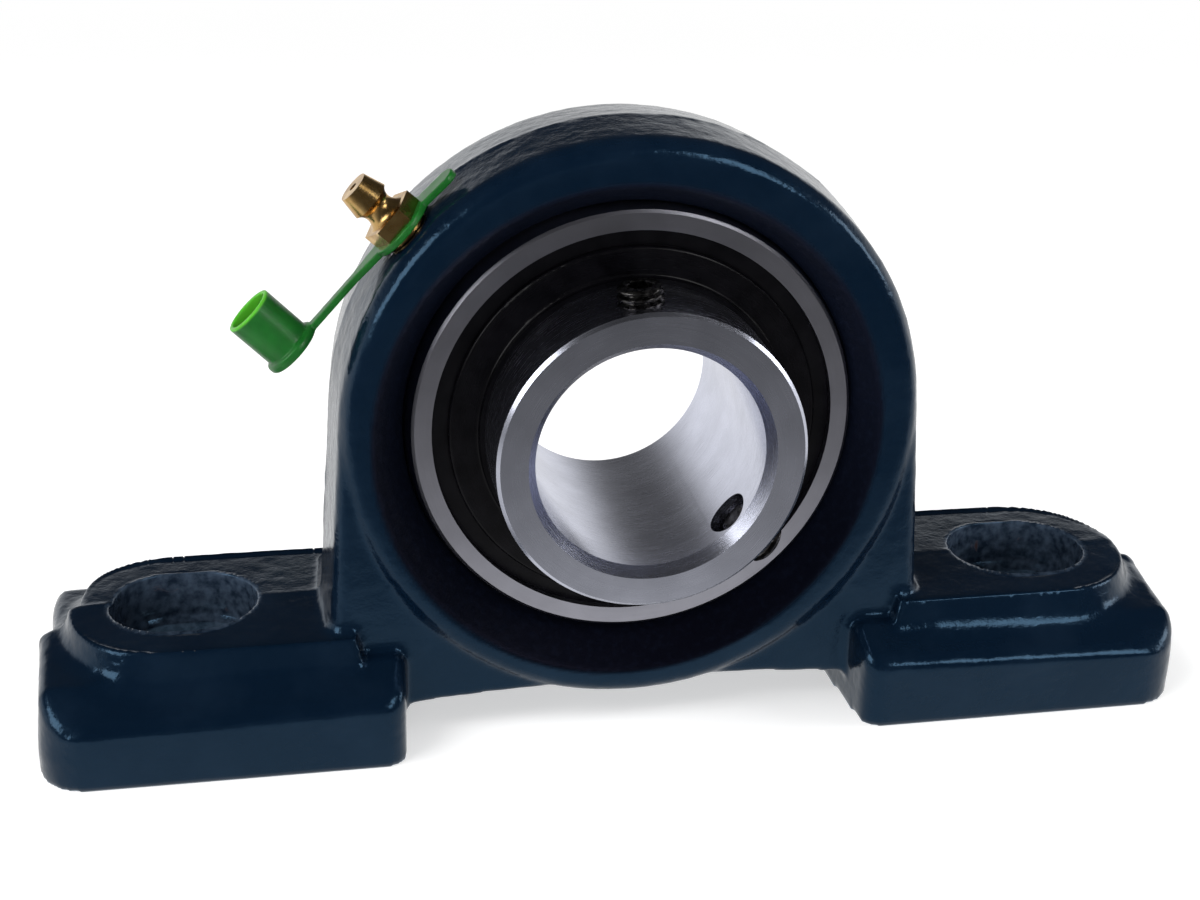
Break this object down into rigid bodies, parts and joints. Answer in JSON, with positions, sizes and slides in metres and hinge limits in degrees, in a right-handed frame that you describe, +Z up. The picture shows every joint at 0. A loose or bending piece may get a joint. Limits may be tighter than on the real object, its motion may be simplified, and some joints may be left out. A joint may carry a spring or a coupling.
{
  "type": "pillow block bearing",
  "caption": "Cast pillow block housing on two slotted feet, with a self-aligning ball bearing insert, a grease nipple and a tethered dust cap.",
  "frame": {"origin": "on the base face, straight below the middle of the spherical seat and midway between the bolt slots", "axes": "+X along the base between the bolt slots, +Y along the shaft from the long end of the inner ring to the back, +Z up from the base"},
  "size_m": [0.1614, 0.0424, 0.0827],
  "materials": {
    "casting": "gloss paint over a rough sand casting",
    "ring_steel": "ground bearing steel",
    "ball_steel": "polished bearing steel",
    "pressed_steel": "pressed sheet steel",
    "black_steel": "black coated sheet steel",
    "seal_rubber": "matt rubber",
    "screw_steel": "black oxide",
    "nipple_brass": "turned brass",
    "cap_plastic": "soft translucent polyethylene"
  },
  "bodies": {
    "housing": {"housing": "casting", "nipple_body": "nipple_brass", "nipple_spring": "pressed_steel"},
    "insert": {"outer_ring": "ring_steel", "seal_shield_front": "pressed_steel", "seal_shield_rear": "pressed_steel", "seal_lip_front": "seal_rubber", "seal_lip_rear": "seal_rubber"},
    "shaft_ring": {"inner_ring": "ring_steel", "slinger_front": "black_steel", "slinger_rear": "black_steel"},
    "cage": {"cage_front": "pressed_steel", "cage_rear": "pressed_steel", "cage_rivets": "pressed_steel"},
    "top_screw": {"set_screw_top": "screw_steel"},
    "side_screw": {"set_screw_side": "screw_steel"},
    "check_ball": {"nipple_ball": "ball_steel"},
    "cap": {"dust_cap": "cap_plastic"},
    "rolling_1": {"ball_1": "ball_steel"},
    "rolling_2": {"ball_2": "ball_steel"},
    "rolling_3": {"ball_3": "ball_steel"},
    "rolling_4": {"ball_4": "ball_steel"},
    "rolling_5": {"ball_5": "ball_steel"},
    "rolling_6": {"ball_6": "ball_steel"},
    "rolling_7": {"ball_7": "ball_steel"},
    "rolling_8": {"ball_8": "ball_steel"},
    "rolling_9": {"ball_9": "ball_steel"}
  },
  "joints": [
    {"name": "insert_tilt", "type": "hinge", "parent": "housing", "child": "insert", "pos_m": [0, 0, 0.0429], "axis": [1, 0, 0], "range_deg": [-3, 3]},
    {"name": "shaft_spin", "type": "hinge", "parent": "insert", "child": "shaft_ring", "pos_m": [0, 0, 0.0429], "axis": [0, 1, 0], "continuous": true},
    {"name": "cage_spin", "type": "hinge", "parent": "insert", "child": "cage", "pos_m": [0, 0, 0.0429], "axis": [0, 1, 0], "continuous": true},
    {"name": "ball_1_roll", "type": "hinge", "parent": "cage", "child": "rolling_1", "pos_m": [0.023, 0, 0.0429], "axis": [0, 1, 0], "continuous": true},
    {"name": "ball_2_roll", "type": "hinge", "parent": "cage", "child": "rolling_2", "pos_m": [0.01762, 0, 0.05768], "axis": [0, 1, 0], "continuous": true},
    {"name": "ball_3_roll", "type": "hinge", "parent": "cage", "child": "rolling_3", "pos_m": [0.00399, 0, 0.06555], "axis": [0, 1, 0], "continuous": true},
    {"name": "ball_4_roll", "type": "hinge", "parent": "cage", "child": "rolling_4", "pos_m": [-0.0115, 0, 0.06282], "axis": [0, 1, 0], "continuous": true},
    {"name": "ball_5_roll", "type": "hinge", "parent": "cage", "child": "rolling_5", "pos_m": [-0.02161, 0, 0.05077], "axis": [0, 1, 0], "continuous": true},
    {"name": "ball_6_roll", "type": "hinge", "parent": "cage", "child": "rolling_6", "pos_m": [-0.02161, 0, 0.03503], "axis": [0, 1, 0], "continuous": true},
    {"name": "ball_7_roll", "type": "hinge", "parent": "cage", "child": "rolling_7", "pos_m": [-0.0115, 0, 0.02298], "axis": [0, 1, 0], "continuous": true},
    {"name": "ball_8_roll", "type": "hinge", "parent": "cage", "child": "rolling_8", "pos_m": [0.00399, 0, 0.02025], "axis": [0, 1, 0], "continuous": true},
    {"name": "ball_9_roll", "type": "hinge", "parent": "cage", "child": "rolling_9", "pos_m": [0.01762, 0, 0.02812], "axis": [0, 1, 0], "continuous": true},
    {"name": "top_screw_slide", "type": "slide", "parent": "shaft_ring", "child": "top_screw", "axis": [0.0698, 0, -0.9976], "range_m": [-0.0025, 0.0013]},
    {"name": "side_screw_slide", "type": "slide", "parent": "shaft_ring", "child": "side_screw", "axis": [-0.7547, 0, 0.6561], "range_m": [-0.0025, 0.0013]},
    {"name": "check_ball_slide", "type": "slide", "parent": "housing", "child": "check_ball", "axis": [0.7431, 0, -0.6691], "range_m": [0, 0.0008], "stiffness_N_per_m": 300, "springref_m": -0.001, "deforming": ["nipple_spring"]},
    {"name": "cap_swivel", "type": "hinge", "parent": "housing", "child": "cap", "pos_m": [-0.02962, -0.0045, 0.06957], "axis": [-0.7431, 0, 0.6691], "continuous": true}
  ],
  "couplings": [
    {"joint": "cage_spin", "follows": "shaft_spin", "ratio": 0.39647},
    {"joint": "ball_1_roll", "follows": "shaft_spin", "ratio": -2.3112},
    {"joint": "ball_2_roll", "follows": "shaft_spin", "ratio": -2.3112},
    {"joint": "ball_3_roll", "follows": "shaft_spin", "ratio": -2.3112},
    {"joint": "ball_4_roll", "follows": "shaft_spin", "ratio": -2.3112},
    {"joint": "ball_5_roll", "follows": "shaft_spin", "ratio": -2.3112},
    {"joint": "ball_6_roll", "follows": "shaft_spin", "ratio": -2.3112},
    {"joint": "ball_7_roll", "follows": "shaft_spin", "ratio": -2.3112},
    {"joint": "ball_8_roll", "follows": "shaft_spin", "ratio": -2.3112},
    {"joint": "ball_9_roll", "follows": "shaft_spin", "ratio": -2.3112}
  ]
}
